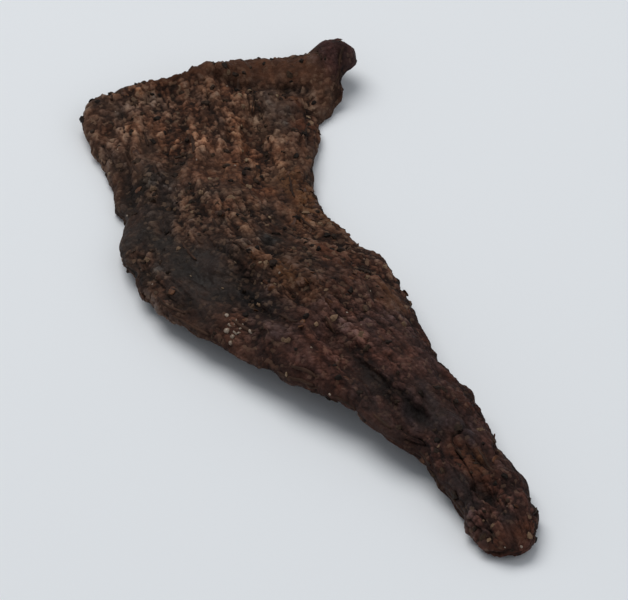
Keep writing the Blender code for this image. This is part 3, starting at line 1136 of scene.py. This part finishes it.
def startFibres(rng):
    # grid row and column of each fibre's middle: mostly at the edges and near the tip, clear of the floor
    rows, columns = stripGrid.shape[:2]
    nearTip = fibres["nearTip"] * smoothStep(*fibres["tip"], stripFacts["x"])
    weights = fibres["onTop"] + stripMasks["edge"] + nearTip
    weights = weights * (stripGrid[..., 2] > fibres["lowest"])
    # none in the first twelfth and the last tenth of the rows
    weights[: rows // 12] = 0
    weights[-rows // 10 :] = 0
    chance = (stripArea * weights).ravel()
    picked = rng.choice(len(chance), fibres["count"], replace=False, p=chance / chance.sum())
    return np.divmod(picked, columns)


def makeFibres():
    # tubes along the surface's rows: radius times a bell of the share along, lifted off towards their ends
    rng = np.random.default_rng(fibres["seed"])
    startRow, startColumn = startFibres(rng)
    each = (fibres["count"], 1)
    share = np.linspace(0, 1, fibres["stations"])[None, :]
    run = rng.uniform(*fibres["rows"], each)
    drift = rng.normal(0, fibres["drift"], each)
    wave = rng.normal(0, fibres["wave"], each) * np.sin(share * rng.uniform(*fibres["turns"], each))
    row = startRow[:, None] + run * (share - 0.5)
    column = startColumn[:, None] + drift * share + wave
    path = sampleGrid(stripGrid, row, column)
    up = unit(sampleGrid(stripNormals, row, column))
    radius = rng.uniform(*fibres["radius"], each) * np.sin(np.pi * share) ** 0.5
    ends = np.abs(2 * share - 1) ** 3 * rng.uniform(*fibres["ends"], each) * fibres["lift"]
    path = path + up * (ends - radius * fibres["sink"])[..., None]
    before = np.concatenate([path[:, :1], path[:, :-1]], axis=1)
    after = np.concatenate([path[:, 1:], path[:, -1:]], axis=1)
    path = (path + before + after) / 3
    along = unit(np.gradient(path, axis=1))
    side = unit(np.cross(up, along))
    up = np.cross(along, side)
    turn = np.linspace(-np.pi, np.pi, fibres["sides"], endpoint=False)[None, None, :, None]
    ring = side[:, :, None] * np.sin(turn) + up[:, :, None] * np.cos(turn)
    grids = keepAbove(path[:, :, None] + ring * radius[:, :, None, None])
    addPiece("torn_fibres", closedMesh("torn_fibres", grids), patchyMaterial("torn fibres", fibres)[0])


print("laying on pepper, chilli, seeds, salt and fibres")
makePepper()
makeChilli()
makeSeeds()
makeSalt()
makeFibres()


# The floor, the light and the camera.
view = {
    "azimuth": 68.6,
    "elevation": 40.0,
    "distance": 3.2,
    "pixelsPerMm": 6.5,
    "aim": (-2.6, 3.6),  # mm to the right of and above the part's origin, in the picture
    "imageWidth": 628,
    "sensorWidth": 36.0,
}
studio = {
    "floorColour": (0.845, 0.872, 0.905, 1),
    "floorSurface": (0.75, 0.2),
    "floorSide": 6.0,  # half of it, in metres
    "floorPatch": (180.0, 0.0),
    "floorShade": 0.985,  # the floor's darker patches, as a share of its colour
    "skyColour": (0.90, 0.95, 1.0, 1),
    "skyStrength": 0.34,
    # name, metres to the right, away from the camera and up, size in metres, power, colour
    "lights": (
        ("key_light", (-0.35, 0.45, 1.15), 1.1, 10.0, (1.0, 0.985, 0.96)),
        ("fill_light", (0.7, -0.6, 0.7), 0.9, 1.5, (1, 1, 1)),
    ),
}
turnAngle = math.radians(view["azimuth"])
lookDown = math.radians(view["elevation"])
toRight = np.array([math.cos(turnAngle), math.sin(turnAngle), 0])
groundAhead = np.array([-math.sin(turnAngle), math.cos(turnAngle), 0])
ahead = groundAhead * math.cos(lookDown) - np.array([0, 0, math.sin(lookDown)])
pictureUp = np.cross(toRight, ahead)


def aimAt(thing, place, target):
    # stands the thing at place, its -Z towards the target
    away = np.array(place, float) - np.array(target, float)
    thing.location = place
    flat = math.hypot(away[0], away[1])
    thing.rotation_euler = (math.atan2(flat, away[2]), 0, math.atan2(away[0], -away[1]))


def addSoftLight(name, place, side, power, colour):
    light = bpy.data.lights.new(name, "AREA")
    light.shape = "DISK"
    light.size = side
    light.energy = power
    light.color = colour
    right, away, up = place
    aimAt(addObject(name, light), toRight * right + groundAhead * away + np.array([0, 0, up]), (0, 0, 0))


def makeStudio():
    side = studio["floorSide"]
    corners = [(-side, -side, 0), (side, -side, 0), (side, side, 0), (-side, side, 0)]
    floorMesh = bpy.data.meshes.new("studio_floor")
    floorMesh.from_pydata(corners, [], [(0, 1, 2, 3)])
    material, tree, shader = startMaterial("pale floor", *studio["floorSurface"])
    pale = studio["floorColour"]
    darker = tuple(channel * studio["floorShade"] for channel in pale[:3]) + (1,)
    colour = patchyColour(tree, objectPlaces(tree), studio["floorPatch"], pale, darker)
    feed(tree, shader, "Base Color", colour)
    floorMesh.materials.append(material)
    floor = addObject("studio_floor", floorMesh)

    world = bpy.data.worlds.new("studio sky")
    world.use_nodes = True
    background = world.node_tree.nodes["Background"]
    background.inputs["Color"].default_value = studio["skyColour"]
    background.inputs["Strength"].default_value = studio["skyStrength"]
    bpy.context.scene.world = world
    for light in studio["lights"]:
        addSoftLight(*light)


def makeCamera():
    # the lens that gives pixelsPerMm at the aim: sensor width * distance / width of the view there
    camera = bpy.data.cameras.new("camera")
    camera.sensor_width = view["sensorWidth"]
    camera.lens = view["sensorWidth"] * view["distance"] / (view["imageWidth"] / view["pixelsPerMm"] * mm)
    camera.clip_start = 0.05
    thing = addObject("camera", camera)
    right, up = view["aim"]
    target = (toRight * right + pictureUp * up) * mm
    aimAt(thing, target - ahead * view["distance"], target)
    bpy.context.scene.camera = thing


makeStudio()
makeCamera()
bpy.context.scene.view_settings.view_transform = "Standard"
print("floor, light and camera are in")
